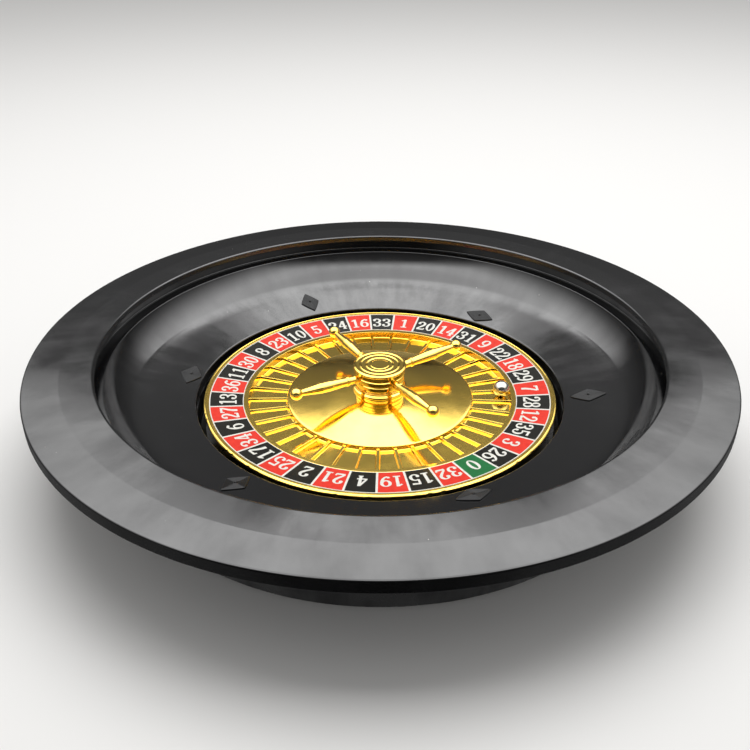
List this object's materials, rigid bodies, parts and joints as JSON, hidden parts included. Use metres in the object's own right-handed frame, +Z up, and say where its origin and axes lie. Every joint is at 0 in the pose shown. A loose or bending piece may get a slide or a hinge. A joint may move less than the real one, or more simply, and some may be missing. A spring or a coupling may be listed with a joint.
{
  "type": "roulette wheel",
  "caption": "Roulette wheel: black moulded bowl and rim with diamond ball deflectors, and a gold wheel head with printed number ring, pockets, turret and handles on a ball bearing.",
  "frame": {"origin": "on the surface the wheel stands on, under the middle of the spindle", "axes": "+Z up along the spindle, -Y towards the viewer of the picture, +X to the viewer's right"},
  "size_m": [0.4, 0.4, 0.0648],
  "materials": {
    "bowl": "moulded black, glossy",
    "deflector": "moulded black, slightly worn",
    "pad": "matt",
    "gold": "gold plating, mirror bright",
    "number_ring": "printed in red, black, green and white, satin",
    "steel": "bright zinc",
    "ball_steel": "polished",
    "cage": "moulded polymer"
  },
  "bodies": {
    "base": {"base_plate": "bowl", "casing": "bowl", "bowl": "bowl", "rim": "bowl", "deflector_1": "deflector", "deflector_2": "deflector", "deflector_3": "deflector", "deflector_4": "deflector", "deflector_5": "deflector", "deflector_6": "deflector", "foot_pad_1": "pad", "foot_pad_2": "pad", "foot_pad_3": "pad", "foot_pad_4": "pad", "foot_pad_5": "pad", "foot_pad_6": "pad", "spindle_bolt": "steel", "spindle_lower_washer": "steel", "spindle_lock_nut": "steel", "spindle_upper_washer": "steel", "spindle_top_nut": "steel", "bearing_inner_race": "steel"},
    "wheel": {"wheel_head": "gold", "number_ring": "number_ring", "bearing_outer_race": "steel", "turret_base": "gold", "turret_drum": "gold", "turret_cap": "gold", "turret_handle_1": "gold", "turret_handle_2": "gold", "turret_handle_3": "gold", "turret_handle_4": "gold"},
    "ball_set": {"bearing_cage": "cage", "bearing_ball_1": "ball_steel", "bearing_ball_2": "ball_steel", "bearing_ball_3": "ball_steel", "bearing_ball_4": "ball_steel", "bearing_ball_5": "ball_steel", "bearing_ball_6": "ball_steel", "bearing_ball_7": "ball_steel"},
    "ball": {"roulette_ball": "ball_steel"}
  },
  "joints": [
    {"name": "wheel_spin", "type": "hinge", "parent": "base", "child": "wheel", "pos_m": [0, 0, 0.0232], "axis": [0, 0, 1], "continuous": true},
    {"name": "ball_set_spin", "type": "hinge", "parent": "base", "child": "ball_set", "pos_m": [0, 0, 0.0232], "axis": [0, 0, 1], "continuous": true},
    {"name": "ball_lift", "type": "slide", "parent": "wheel", "child": "ball", "axis": [0, 0, 1], "range_m": [0, 0.1]}
  ],
  "couplings": [
    {"joint": "ball_set_spin", "follows": "wheel_spin", "ratio": 0.6267}
  ]
}
